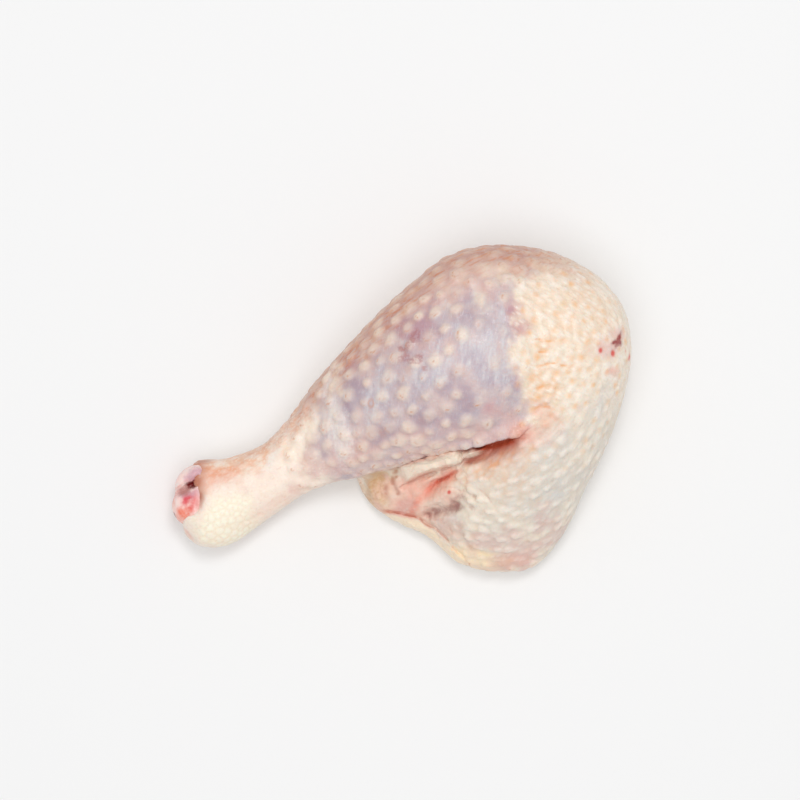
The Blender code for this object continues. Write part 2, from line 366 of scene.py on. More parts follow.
class Clay:
    """A net's points and the ways they face, as arrays in millimetres."""

    def __init__(self, obj):
        self.obj = obj
        self.read()
        self.count = len(self.points)
        self.plan = self.points[:, :2].copy()  # where each point lay before it was worked
        self.above = rise(self.facing[:, 2], -0.15, 0.25)  # how far it can be seen from above
        self.smooth_facing = self.facing.copy()
        self.ragged = self.grain(7, 3, seed=3.1)  # what makes borders wander
        self.wander = self.grain(3.2, 2, seed=9.4)
        self.broken = np.clip(0.7 + 1.1 * self.grain(2.6, 2, seed=6.2), 0.15, 1)
        self.shift = np.zeros((self.count, 3))  # what is to be pushed next

    def read(self):
        data = self.obj.data
        self.points = np.empty((len(data.vertices), 3), np.float32)
        self.facing = np.empty((len(data.vertices), 3), np.float32)
        data.vertices.foreach_get("co", self.points.ravel())
        data.vertex_normals.foreach_get("vector", self.facing.ravel())
        self.points /= MM

    def press(self):
        """Moves every point by what its shift has come to, and reads the new facings."""
        self.points += self.shift
        self.shift = np.zeros((self.count, 3))
        self.obj.data.vertices.foreach_set("co", (self.points * MM).ravel())
        self.obj.data.update()
        self.read()

    def relax(self, where, times):
        """Draws points towards their neighbours, by a share from 0 to 1 at each."""
        ends = np.empty((len(self.obj.data.edges), 2), np.int32)
        self.obj.data.edges.foreach_get("vertices", ends.ravel())
        count = np.bincount(ends.ravel(), minlength=self.count)[:, None]
        start = self.points.copy()
        for _ in range(times):
            total = np.zeros((self.count, 3))
            for axis in range(3):
                for one, other in ((0, 1), (1, 0)):
                    total[:, axis] += np.bincount(ends[:, one], self.points[ends[:, other], axis],
                                                  minlength=self.count)
            self.points = self.points + (total / count - self.points) * 0.5 * where[:, None]
        self.shift = self.points - start
        self.points = start
        self.press()

    def paint(self, **layers):
        """Keeps each layer, from 0 to 1, on the net for its finish to read."""
        for name, amount in layers.items():
            layer = self.obj.data.attributes.new(name, "FLOAT", "POINT")
            layer.data.foreach_set("value", np.clip(amount, 0, 1).astype(np.float32))
        print("painted", ", ".join(layers))

    def grain(self, size, octaves=2, seed=0):
        """Smooth noise around 0 with features of that size in millimetres."""
        places = (self.points.astype(float) / size + seed).tolist()
        return np.array([noise.fractal(place, 1.0, 2.0, octaves) for place in places])

    def patch(self, x, y, long, wide, turn=0, soft=0.4):
        """A soft ragged oval as seen from above, 1 inside it."""
        turn = math.radians(turn)
        east, north = self.plan[:, 0] - x, self.plan[:, 1] - y
        ahead = (east * math.cos(turn) + north * math.sin(turn)) / long
        aside = (north * math.cos(turn) - east * math.sin(turn)) / wide
        return rise(np.hypot(ahead, aside) + self.ragged * soft, 1 + soft, 1 - soft) * self.above

    def patches(self, *rows, soft=BLUR):
        """The strongest of several patches. A row can end in a strength and its own blur."""
        def one(x, y, long, wide, turn=0, strength=1, blur=soft):
            return strength * self.patch(x, y, long, wide, turn, blur)

        return most(*[one(*row) for row in rows])

    def groove(self, rows, depth, width, fade=0.25, line=0):
        """Sinks a soft trough, or raises a ridge if the depth is negative.

        It gives back where the trough lies, or the line of that width along its bottom.
        """
        route = Beside(self, rows)
        amount = route.ridge(width, fade)
        self.shift[:, 2] -= amount * depth
        return route.ridge(line, fade) * self.broken if line else amount

    def fold(self, rows, stand, drop, reach=1.6, wide=3, fade=0.2, edge=0.5):
        """A crease with a lip on its left: the lip stands up and the skin on its right drops."""
        route = Beside(self, rows)
        amount = route.along(fade) * self.above
        left = rise(route.off, -edge, edge)
        up, down = fading(route.off, wide) * stand, fading(-route.off, reach) * drop
        self.shift[:, 2] += amount * (left * up - (1 - left) * down)
        return hump(route.off + 0.3 * edge, 2.4 * edge + 0.5) * amount * self.broken


# %% Routes over the leg
STEPS = 6  # straight pieces between two points of a route
WANDER = 0.3  # how far a fold strays from its route


def smooth_route(rows):
    """A Catmull-Rom curve through every row of numbers."""
    rows = np.array(rows, float)
    ends = np.vstack([2 * rows[0] - rows[1], rows, 2 * rows[-1] - rows[-2]])
    dense = []
    for i in range(1, len(ends) - 2):
        before, start, end, after = ends[i - 1:i + 3]
        for t in np.arange(STEPS) / STEPS:
            dense.append(0.5 * (2 * start + (end - before) * t
                                + (2 * before - 5 * start + 4 * end - after) * t * t
                                + (3 * start - before - 3 * end + after) * t ** 3))
    dense.append(rows[-1])
    return np.array(dense)


class Beside:
    """Where a clay's points lie beside a route, as seen from above.

    off is the distance to it, positive on its left. share runs from 0 at its start to 1 at its
    end. Further numbers in the route's rows come out as extra, one column each.
    """

    def __init__(self, clay, rows, reach=16):
        line = smooth_route(rows)
        low, high = line[:, :2].min(axis=0) - reach, line[:, :2].max(axis=0) + reach
        near = np.flatnonzero(((clay.plan > low) & (clay.plan < high)).all(axis=1))
        start, step = line[:-1, :2], np.diff(line[:, :2], axis=0)
        away = clay.plan[near][:, None, :] - start
        part = np.clip((away * step).sum(axis=2) / (step ** 2).sum(axis=1), 0, 1)
        gap = np.hypot(*np.moveaxis(away - part[:, :, None] * step, 2, 0))
        best = gap.argmin(axis=1)
        every = np.arange(len(near))
        part = part[every, best]
        turn = step[best, 0] * away[every, best, 1] - step[best, 1] * away[every, best, 0]
        self.off = np.full(clay.count, 1e3)
        self.off[near] = gap[every, best] * np.where(turn >= 0, 1, -1)
        self.share = np.zeros(clay.count)
        self.share[near] = (best + part) / len(step)
        self.extra = np.zeros((line.shape[1] - 2, clay.count))
        part = part[:, None]
        self.extra[:, near] = (line[best, 2:] * (1 - part) + line[best + 1, 2:] * part).T
        self.off += WANDER * clay.wander
        self.above = clay.above

    def along(self, fade=0.2):
        """1 over most of the route, fading to 0 at both its ends."""
        return rise(self.share, 0, fade) * rise(self.share, 1, 1 - fade)

    def ridge(self, width, fade=0.2):
        """A hump of that width along the route."""
        return hump(self.off, width) * self.along(fade) * self.above


# %% [markdown]
# ## Folds, lips and grooves
#
# The drumstick lies on the thigh and overhangs it: its lower edge is a lip, with a dark crease
# under it. A web of skin comes out from under the lip and rolls over on itself, and below it the
# skin of the inner thigh sinks into a red groove and a greyish hollow. The flap of skin ends in a
# rolled rim. A lip is a step in the net: one side stands up and the other drops, both fading away
# from the edge. Real creases are deeper than they are wide, so the drop is pushed straight down.

# %% Routes of the folds
# x, y, how far the drumstick stands up, how far the skin under it drops, how wide the drop is
LIP = (
    (-15, -21.6, 0.3, 0, 1), (-6.7, -18.8, 0.8, 0.6, 1), (-3.2, -18.2, 1, 1.4, 1),
    (5.2, -15.7, 1.1, 0.9, 1), (10.5, -14.2, 1.3, 1, 1), (15.8, -12.6, 1.6, 1.6, 1.2),
    (19.4, -12, 1.9, 3.2, 2.6), (24.6, -11, 2.3, 5, 4.6), (29.1, -9.8, 2.3, 6.2, 4.6),
    (33.1, -8.6, 1.7, 4.4, 3.4), (36, -7.8, 0.9, 2.4, 2.2), (38.2, -6.4, 0.3, 0.2, 1.6),
    (41, -4.6, 0.1, 0, 1.5), (44, -2.6, 0, 0, 1))
UNDER_ROLL = ((17.6, -16.4), (20.4, -16.2), (23.6, -14.9), (27, -12.9), (31, -10.6))
# x, y, how high the web stands
WEB = (
    (-0.6, -21.4, 1.6), (2.4, -19.6, 4.6), (5.2, -18.3, 5.8), (8.2, -17.2, 6), (11.6, -16.2, 5.2),
    (15.2, -14.8, 4.2), (19, -13.9, 3))
WEB_TOP = ((5.2, -16), (4.2, -16.6), (2.8, -18.3), (1.8, -20.3))
WEB_EDGE = (
    (-1.6, -25.2), (0.3, -23.7), (2.3, -22.9), (5.4, -21.3), (8.4, -20), (12.1, -19.1), (14.6, -18),
    (17.4, -16.9), (19.4, -15.4), (19.8, -13.2))
WEB_WRINKLES = (
    ((1, -22.4), (4.4, -20.2), (8, -19.2), (11.4, -18)), ((6, -17.6), (9.4, -16.8), (13.6, -15.2)),
    ((2.6, -21.6), (6, -20.4), (9, -19.9)))
SECOND_ROLL = ((18.4, -13.6), (20.6, -13.6), (23, -13.1), (25.6, -12.3), (28.2, -11))
GROOVE = (
    (20.4, -17.6), (18, -18.8), (16.3, -19.6), (14.6, -21), (12.4, -22.2), (11.2, -23), (10.2, -23.9),
    (8.7, -25.2), (7.2, -27.1), (5.7, -28.8), (3.8, -30.9))
RIDGE_OVER_GROOVE = ((4.6, -24.2), (9, -21.9), (13, -20), (17, -18))
RIDGE_UNDER_GROOVE = ((16.4, -23), (12, -26.6), (8, -30))
HOLLOW = ((18.6, -28), (17.8, -30), (15.2, -31.4), (11.6, -31.8), (8.6, -33.2), (5.6, -33.6))
HOLLOW_EDGE = ((23, -27.4), (20.4, -26.2), (18.6, -27.6), (17, -29.4), (15.4, -30.8))
NEEDLE = ((18.6, -26.8), (19.1, -27.8), (20.6, -29.4), (22.2, -30.7), (24.2, -31.6))
UPPER_NEEDLE = ((18.8, -25), (19.8, -25.5), (22, -26.8), (24, -27.8))
FOLD_LINE = ((17.8, -34.6), (18.6, -37.2), (19.9, -40.2), (21.4, -42.6), (24.4, -45.2))
RIM_CREASE = (
    (24.6, -50.4), (20.4, -47.8), (16.6, -44.6), (13.6, -40.8), (10.4, -37.8), (8.5, -37),
    (6.7, -35.8), (5.4, -34.8), (3.3, -34.2), (0.3, -33.5), (-2.2, -33), (-5, -32.6), (-7.6, -32))
RIM_SWELL = ((4.6, -36.2), (6.2, -37.6), (8.6, -38.6), (12, -41))
LOBE_CREASES = (
    ((-0.2, -17.6), (-1.6, -18.6), (-1.8, -20.4), (-0.8, -21.4)),
    ((-2.2, -20), (-2.6, -22.8), (-1.4, -25.6), (-0.4, -27.4)),
    ((-4.6, -22.8), (-4.8, -26), (-4.2, -28.8), (-3, -30.8)))
SMALL_WRINKLES = (
    ((1.4, -24.6), (3.5, -28), (3, -31.6)), ((15, -22.2), (18.6, -22), (21.6, -23.6)),
    ((11.6, -24.4), (16, -24.4), (19.6, -25.6)), ((12, -35.4), (15, -37), (16.6, -40.6)),
    ((9.6, -35.2), (13.6, -34.6)), ((-6.4, -21.2), (-7, -25), (-5.6, -29.4)),
    ((5.8, -30.8), (9.4, -30.4), (12.6, -29.6)), ((-8.6, -21.6), (-9, -25.4), (-7.4, -29.8)),
    ((8, -21.6), (12, -20.4), (16, -18.6)), ((23, -24), (26.4, -26.6), (29.4, -31)))
print(len(LIP), "points along the lip,", len(WEB_EDGE), "along the web")

# %% Halve the net beside the sharp ones
SHARP = 2.4  # how far on each side of them

coarse = Clay(skin)
sharp_routes = (LIP, WEB_EDGE, GROOVE[:7], RIM_CREASE[2:], HOLLOW_EDGE)
offs = [np.abs(Beside(coarse, rows).off) for rows in sharp_routes]
sharp = (np.min(offs, axis=0) < SHARP) & (coarse.facing[:, 2] > 0)
halve(skin, lambda face: all(sharp[vert.index] for vert in face.verts))
clay = Clay(skin)
print("the net has", clay.count, "points and", triangles(skin), "triangles")

# %% The drumstick's lower lip
LIP_EDGE = 0.5  # half the width of the wall between the lip and the crease
LIP_REACH = 4.5
LIP_LEAN = 0.6  # how far the lip leans out over the crease
LEAN_WAY = (0.34, -0.94, 0)

lip = Beside(clay, LIP, reach=26)
stand, drop, reach = lip.extra
left = rise(lip.off, -LIP_EDGE, LIP_EDGE)
up, down = fading(lip.off, LIP_REACH) * stand, fading(-lip.off, np.maximum(reach, 0.5)) * drop
clay.shift[:, 2] += clay.above * (left * up - (1 - left) * down)
lean = clay.above * left * np.exp(-(lip.off / 2) ** 2) * np.minimum(drop / 2, 1) * LIP_LEAN
clay.shift += lean[:, None] * np.array(LEAN_WAY)
print("the lip drops by up to", round(float(drop.max()), 1), "mm")

# %% Folds and grooves of the pocket and the rim
web = Beside(clay, WEB)
web_top = rise(web.off, 5.2, 3.4) * rise(web.off, -2.9, -1.4) * (1 - left) * web.along(0.1)
clay.shift[:, 2] += web_top * web.extra[0]
web_dark = clay.fold(WEB_EDGE, 0.4, 1.5, reach=1.5, wide=2, fade=0.1)
under_roll = clay.groove(UNDER_ROLL, 1.8, 4.4, fade=0.3)
roll_top = clay.groove(SECOND_ROLL, -4.8, 3.8, fade=0.3)
groove_wide = clay.groove(GROOVE, 1.6, 6, fade=0.3)
groove_fine = clay.groove(GROOVE[:9], 1.3, 1.5, fade=0.45)
web_line = clay.groove(WEB_TOP, 0.7, 2)
clay.groove(RIDGE_OVER_GROOVE, -1.3, 3.2)
for rows in WEB_WRINKLES:
    clay.groove(rows, 0.4, 1.6, line=0.8)
clay.groove(RIDGE_UNDER_GROOVE, -1.4, 7)
hollow = clay.groove(HOLLOW, 2.2, 6, fade=0.2)
dark_hollow = clay.groove(HOLLOW, 0.6, 2, fade=0.15)
hollow_edge = clay.fold(HOLLOW_EDGE, 0.2, 0.3, reach=2, wide=2.4, edge=1.4)
needle = clay.groove(NEEDLE, 0.9, 3.2)
upper_needle = clay.groove(UPPER_NEEDLE, 0.7, 3)
fold_line = clay.fold(FOLD_LINE, 0.5, 0.5, reach=1.8, wide=2.6, edge=1)
rim_dark = clay.fold(RIM_CREASE, 1.1, 1.1, reach=1.4, wide=2.2, fade=0.12, edge=0.5)
clay.groove(RIM_SWELL, -0.9, 3.4)
lobe_dark = most(*[clay.fold(rows, 0.55, 0.8, reach=1.7, wide=2.4, edge=1) for rows in LOBE_CREASES])
wrinkle_dark = most(*[clay.groove(rows, 0.35, 2.2, line=0.9) for rows in SMALL_WRINKLES])
print("deepest drop", round(float(-clay.shift[:, 2].min()), 1), "mm")

# %% [markdown]
# ## Thin skin, thick skin and tendons
#
# The skin over the belly of the drumstick is thin, and the thicker skin of the knee stands a
# little above it along a ragged edge. A step this low could be left to colour alone, but a real
# edge catches the light. Beside it the thick skin lies in shallow cross folds, and tendons and
# loose skin lift small ridges along the shank. They are made with the same ridges and grooves.

# %% Thin and thick skin
THIN_EDGE = (
    (33.6, 38), (35, 34), (34, 28), (33.2, 22), (35.2, 13), (38, 4), (40.2, -3.6), (40.6, -6.6))
THICK_STEP = 0.3  # how far the thick skin stands above the thin

thin_edge = Beside(clay, THIN_EDGE, reach=60)
thick_side = rise(thin_edge.off + 2.2 * clay.ragged, -3.6, 3.6) * thin_edge.along(0.1)
clay.shift[:, 2] += clay.above * THICK_STEP * thick_side * fading(thin_edge.off, 6)
print("thick skin over", percent(thick_side))

# %% Knee, shank and tendons
KNEE_FOLDS = (
    ((38.4, 20.6), (41, 21.8), (45, 21), (48.6, 21.8), (53, 20.2)),
    ((39, 14), (42.6, 13.4), (46, 14.4), (51, 13.4), (56, 13.6)),
    ((40, 6.2), (43.6, 7.2), (47.6, 6.4), (51.6, 7)), ((39.4, 0.4), (43, 1), (48, 0.2)),
    ((39, 17.4), (42.6, 17.8), (45.8, 17.2)))
TENDONS = (
    ((-21.6, 4.6), (-20.2, -2), (-18, -8), (-15.8, -11.8)),
    ((-36.8, -10.6), (-38.6, -14.4), (-41.4, -19.4)))
SHANK_FOLDS = (
    ((-52, -36.4), (-46, -34), (-40, -30.2), (-34, -27.4)),
    ((-47, -32.6), (-41, -29.6), (-36, -26.4)), ((-56, -17.6), (-50, -16), (-43, -12.6), (-38, -8)),
    ((-52, -19.4), (-46, -16.8), (-41, -12.8)))

knee_folds = most(*[clay.groove(rows, 0.3, 2.2, line=1.3) for rows in KNEE_FOLDS])
for rows in TENDONS:
    clay.groove(rows, -0.45, 5.4)
for rows in SHANK_FOLDS:
    clay.groove(rows, 0.35, 2.2)
print(len(KNEE_FOLDS), "folds at the knee")

# %% [markdown]
# ## The torn edge at the hock
#
# At the hock the foot was cut off through the joint. The skin was torn rather than cut there: its
# edge hangs over the joint at the bottom and at the top, and has drawn back between them. Cutting
# the net along that ragged line would leave a jagged border, so the end of the net is pushed out
# or drawn back instead, by an amount read from a list of heights, and its squares stay whole.

# %% The edge of the skin at the hock
# height in the plan, and how far the edge lies beyond the flat cut, or behind it if negative
TORN_EDGE = (
    (-43, 0.6), (-38.5, 1), (-36, 1.7), (-34, 0.6), (-32.4, -1.3), (-30.6, -2), (-28, -1.4),
    (-25.6, 0.2), (-23.5, 2), (-21, 4), (-18.6, 4.4), (-16.6, 2.6), (-15, 1))
HEEL = 0.9  # how far the heel bulges, and how far the skin draws in above it

x, y = clay.plan.T
behind_cut = -(clay.points - np.array(SAW_PLACE) / MM) @ np.array(SAW_WAY)
torn = np.interp(y + 0.6 * clay.wander, *np.array(TORN_EDGE).T)
clay.shift += (torn * rise(behind_cut, 5.5, 0))[:, None] * np.array(SAW_WAY)
clay.shift[:, 2] -= HEEL * rise(behind_cut, 4.5, 0) * clay.above * rise(y, -36, -30)
clay.shift[:, 1] -= HEEL * rise(y, -36, -42) * rise(x, -40, -52)
clay.shift[:, :2] += HEEL * clay.patch(-68.6, -38.8, 3, 3.4, 0, 0.8)[:, None]
print("worked folds into", percent(np.abs(clay.shift[:, 2]) > 0.2), "of the net")

# %% Push it all in, and ease the steep places
STEEP_EASE = 0.9  # how much the wall under the lip is evened out
EASE = 0.12  # and the rest of the skin

clay.press()
steep = fading(np.abs(lip.off), 1.2) * (drop > 0.2)
clay.relax(np.maximum(STEEP_EASE * steep, EASE), times=6)
print("the leg is now", round(float(clay.points[:, 2].max()), 1), "mm high")

# %% [markdown]
# ## Pimpled skin
#
# Every feather grew from a small mound, and plucked skin keeps them all. Each is a drop: its round
# end points the way the feather lay, and its tail fades out behind. They stand 5 mm apart over the
# drumstick. On the thigh they are narrower, and lie along arcs around the belly of the drumstick,
# where the skin is so thin that there are hardly any. A bump in the finish could fake them, but
# they break the outline and throw small shadows, so each is raised in the net. They are scattered
# by throwing darts that keep a set distance, then evened out, so that they lie nearly in rows.

# %% Where the skin changes
ALONG = np.array((0.878, 0.478, 0))  # the drumstick's direction
HOCKWARD = -ALONG + np.array((0, -0.35, 0))
ROW_GAP = 3.3
ARC_CENTRE = (25, 15)  # the rows of the thigh run round this place

up_leg = x * ALONG[0] + y * ALONG[1]  # how far along the drumstick
arc_x, arc_y = x - ARC_CENTRE[0], y - ARC_CENTRE[1]
arc = np.hypot(arc_x, arc_y)
row_crest = 0.5 + 0.5 * np.cos(2 * np.pi * (arc + 2.6 * clay.grain(15, 2, seed=8)) / ROW_GAP)
in_pocket = most(clay.patch(5, -25, 17, 11, -35, 0.2) * (lip.off < 0),
                 clay.patch(28, -12.5, 9, 3.4, 18, 0.3))
below_lip = (lip.off < 0) * (x > -12) * (y < 0)
on_thigh = np.clip(np.maximum(thick_side * (up_leg > 10), below_lip), 0, 1)
on_shank = rise(up_leg, -34, -46)
on_pad = clay.patch(-54, -36.2, 9.4, 9.2, 20, 0.4)
smooth_belly = clay.patch(29.5, 13, 10, 20, -8, 0.25)
print("the thigh is", percent(on_thigh), "of the net, and the shank", percent(on_shank))

# %% Throw darts
DART_CELL = 6  # the largest distance kept


def scatter(allowed, spacing, evening, seed):
    """Picks points at least a spacing apart, evens them out, and gives their places."""
    chosen = np.flatnonzero(allowed)
    taken = {}
    darts = []
    for i in np.random.default_rng(seed).permutation(chosen):
        place = clay.points[i]
        cell = [int(value) for value in place // DART_CELL]
        near = [other for dx in (-1, 0, 1) for dy in (-1, 0, 1) for dz in (-1, 0, 1)
                for other in taken.get((cell[0] + dx, cell[1] + dy, cell[2] + dz), ())]
        if near and ((np.array(near) - place) ** 2).sum(axis=1).min() < spacing[i] ** 2:
            continue
        taken.setdefault(tuple(cell), []).append(place)
        darts.append(place)
    places = np.array(darts)
    watched = clay.points[chosen[::3]]
    for _ in range(evening):
        nearest = np.array([item[1] for item in map(tree_of(places).find, watched)])
        total = np.zeros((len(places), 3))
        np.add.at(total, nearest, watched)
        share = np.bincount(nearest, minlength=len(places))[:, None]
        places = np.where(share > 0, total / np.maximum(share, 1), places)
    return places


def tree_of(places):
    """A tree that finds the nearest of the places."""
    tree = KDTree(len(places))
    for i, place in enumerate(places):
        tree.insert(place, i)
    tree.balance()
    return tree


# %% Scatter the follicles
DRUM_GAP, THIGH_GAP, SHANK_GAP, PAD_GAP = 4.9, 3.2, 3.4, 1.4  # from one to the next

upward = clay.facing[:, 2] > -0.6
on_lobe = (x < 0.5) & (y < -17)
few = np.random.default_rng(5).random(clay.count) < 0.35
drum_gap = DRUM_GAP - 0.9 * rise(lip.off, 14, 2) * (lip.off >= 0) + 6 * smooth_belly
thigh_gap = THIGH_GAP + 0.5 * rise(y, 4, -14)
shank_gap = np.full(clay.count, SHANK_GAP)
pad_gap = PAD_GAP + 0.6 * rise(y, -30, -37)
on_drum = upward & (on_thigh < 0.5) & (on_shank < 0.6) & (in_pocket < 0.4)
drum_skin = on_drum & ((smooth_belly < 0.5) | few)
drum_places = scatter(drum_skin, drum_gap, evening=3, seed=11)
thigh_skin = upward & (on_thigh >= 0.5) & (in_pocket < 0.3) & (row_crest > 0.6) & ~on_lobe
thigh_places = scatter(thigh_skin, thigh_gap, evening=0, seed=12)
shank_skin = upward & (on_shank >= 0.6) & (on_pad < 0.5) & (x > -62)
shank_places = scatter(shank_skin, shank_gap, evening=2, seed=13)
pad_places = scatter(upward & (on_pad > 0), pad_gap, evening=3, seed=14)
print(len(drum_places), "on the drumstick,", len(thigh_places), "on the thigh,",
      len(shank_places), "on the shank,", len(pad_places), "on the hock pad")

# %% Shape a mound at each follicle
UNEVEN = 0.3  # how ragged the foot of a mound is
DRUM_MOUND, THIGH_MOUND, SHANK_MOUND = 2.8, 1.65, 1.5  # how far they reach, in millimetres

net_tree = tree_of(clay.points)


def mounds(places, radius, longer, way, seed, tail=0.6):
    """Shapes a drop at each place, its round end the way it points.

    The tail says how much slower it falls away behind than in front. It gives back how high the
    drops stand, from 0 to 1, how pale they are, the small marks inside their round ends, and the
    soft spots just in front of them.
    """
    rng = np.random.default_rng(seed)
    dome, tint, pore, spot = np.zeros((4, clay.count))
    for place in places:
        size = radius * rng.uniform(0.75, 1.2)
        found = net_tree.find_range(place, size * longer * 1.1 / tail)
        ids = np.array([item[1] for item in found], int)
        if not len(ids):
            continue
        out = clay.facing[ids[0]]
        ahead = way[ids[0]] - out * float(way[ids[0]] @ out)
        ahead /= max(float(np.linalg.norm(ahead)), 1e-6)
        away = clay.points[ids] - place
        a, b = away @ ahead / (size * longer), away @ np.cross(out, ahead) / size
        near = np.hypot(np.where(a > 0, a, a * tail), b) + UNEVEN * clay.wander[ids]
        shape = rise(near, 1, 0.1 + 0.35 * rise(a, -0.4, 0.5))
        tint[ids] = np.maximum(tint[ids], rise(near, 1.2, 0.1) * rng.uniform(0.45, 1))
        dome[ids] = np.maximum(dome[ids], rng.uniform(0.6, 1.1) * shape)
        turn = np.arctan2(b, a) - rng.uniform(-0.9, 0.9)
        mark = hump(np.hypot(a, b) - rng.uniform(0.15, 0.45), 0.26) * rise(np.cos(turn), 0.1, 0.9)
        pore[ids] = np.maximum(pore[ids], mark * rng.uniform(0.1, 1))
        front = np.hypot(a - 1, b * 0.9)
        spot[ids] = np.maximum(spot[ids], rise(front, 0.9, 0.1) * rng.uniform(0, 1))
    return dome, tint, pore, spot


hockward = np.tile(HOCKWARD, (clay.count, 1))
round_arc = np.stack([arc_y, -arc_x, np.zeros(clay.count)], axis=1) / np.maximum(arc, 1)[:, None]
drum_dome, drum_tint, drum_pore, drum_spot = mounds(
    drum_places, DRUM_MOUND, 1, hockward, seed=21, tail=0.78)
thigh_dome, thigh_tint, thigh_pore, thigh_spot = mounds(
    thigh_places, THIGH_MOUND, 1.15, round_arc, seed=22, tail=0.45)
shank_dome, _, shank_pore, _ = mounds(shank_places, SHANK_MOUND, 1.1, hockward, seed=23)
print("domes over", percent(most(drum_dome, thigh_dome, shank_dome) > 0.2), "of the net")

# %% Quilt the hock pad
PAD_LINE = 1.1  # how wide the thin lines are in which its cells meet

on_quilt = np.flatnonzero(on_pad > 0)
pad_tree = tree_of(pad_places)
nearest_two = [[item[2] for item in pad_tree.find_n(clay.points[i], 2)] for i in on_quilt]
pad_dome = np.zeros(clay.count)
pad_dome[on_quilt] = rise(np.diff(nearest_two, axis=1)[:, 0], 0, PAD_LINE)
print("the quilt has", len(on_quilt), "points")

# %% Push the mounds out
DRUM_RISE, SHANK_RISE, PAD_RISE, ROW_RISE = 0.72, 0.1, 0.17, 0.1  # how high each kind stands

on_skin = rise(clay.points[:, 2], 0.5, 4)
facing_up = rise(clay.smooth_facing[:, 2], 0, 0.7)
row_strength = on_thigh * (1 - in_pocket) * facing_up * (0.6 + 0.8 * clay.grain(12, 1, seed=5))
thigh_height = 0.27 + 0.16 * rise(y, 10, -18)
height = (DRUM_RISE * drum_dome * (1 - 0.45 * smooth_belly) * (0.55 + 0.45 * facing_up)
          + thigh_height * thigh_dome * (0.4 + 0.6 * facing_up) + SHANK_RISE * shank_dome
          + PAD_RISE * pad_dome * on_pad + ROW_RISE * (row_crest - 0.5) * row_strength)
dimples = 0.16 * clay.grain(2.4, 2, seed=1) * on_thigh + 0.1 * clay.grain(1.8, 2, seed=2)
clay.shift = clay.facing * ((height + dimples) * on_skin)[:, None]
clay.press()
print("mounds stand up to", round(float(height.max()), 2), "mm")

# %% [markdown]
# ## Painting the skin
#
# Raw chicken skin has no colour of its own: cream fat, violet muscle and red vessels show through
# it by more or less. Noise alone could mottle it, but the violet lies over the muscle, the red in
# the folds and the blood in a few spots. So each of these is a layer that says how strongly it
# shows at each point of the net, from 0 to 1. The layers follow the folds, the mounds and the
# places where such skin is thin, bruised or fatty. A layer of soft ovals is a list of rows: x, y,
# length, width, and then its turn, strength and blur where it needs them.

# %% Muscle under thin skin
along_lip = rise(x, -27, -17) * rise(lip.off, 22, 12)
thin = most(clay.patch(9.5, 11.5, 38, 23.5, 31, 0.35), along_lip)
thin = thin * (1 - thick_side) * rise(lip.off, -0.8, 0.2) * clay.above
violet = clay.patches(
    (-17, 8, 5, 9, 30), (2, 25, 9, 4.6, 30), (-14.6, 13, 6.5, 4, 55), (19.6, 1, 4, 7.5),
    (6.4, -2.4, 4, 2.8), (-16.6, 3, 6, 3, 80), (33.6, 27.4, 1.8, 4.4), (35.5, 9.6, 1.3, 2.8),
    (19.6, 28.4, 4.6, 6.6, 60), (22.6, 14.4, 2.6, 6.2, 40), (11, 24, 4, 3), (13, 7, 3, 5),
    (-6, -8, 5, 3, 20), (-24.3, -14.3, 1.9, 1.7, 20), (-21.4, 3.6, 4.4, 6.4, 10),
    (-6, 13, 26, 10, 33, 0.5, 1))
rose = clay.patches(
    (-16, -14, 12, 4.4, 24), (14, 37, 26, 5, 33), (33, -4.6, 8, 4.4, 20), (27.5, -1, 3.6, 5.6),
    (-14, -13.4, 22, 3.6, 18), (14, -9.6, 26, 4, 16), (25, 37.4, 3.6, 5.4, 10), (34.6, 46, 3, 4, -10),
    (34.6, 29, 2.4, 4.4), (37.4, 24.6, 3, 2), (37.6, -4, 4.4, 3.4, 20), (10, 21, 7, 5, -30))
plum = clay.patches(
    (33.7, 29.6, 1.8, 4.4, 6), (37, 25.4, 2.4, 1.8), (35.4, 9.4, 1.4, 2.8), (26.6, 0.8, 2.4, 4),
    (6.7, 26.2, 2.6, 2.6, 20), (-1.8, 27.5, 2.4, 3), (-15.6, 14.6, 2, 4.4, 40), (0, 22.4, 2.4, 1.6),
    soft=1.4)
haze = clay.patches(
    (24.6, 17.6, 6.6, 11, 50), (9.6, 13, 4, 8, -40), (-7.4, 5.4, 3.2, 8, -20), (31, 22, 1.4, 9, 4))
bruise = clay.patches(
    (3.8, 22.4, 1, 2, -20), (2.4, 19.8, 2, 1.1, 40), (0.2, 18.8, 2, 1.3, -20),
    (0.2, 16.2, 1.8, 1.1, 30), (5.3, 15.8, 1.2, 1.3), (2.8, 15.2, 0.9, 0.8), (7.2, 12.9, 0.8, 1.1),
    soft=0.8)
white = clay.patches(
    (-20.6, -2, 2.6, 11, 13), (-40.4, -14.9, 1.6, 4.4, -28), (-22.6, 8.6, 1.8, 5, -20),
    (-17.6, -9.4, 3, 2.2, 40))
brown_ring = hump(np.hypot((x + 9.5) / 0.75, (y - 2) / 1.15) - 1, 1.1) * clay.above
print("thin skin over", percent(thin), "of the net")

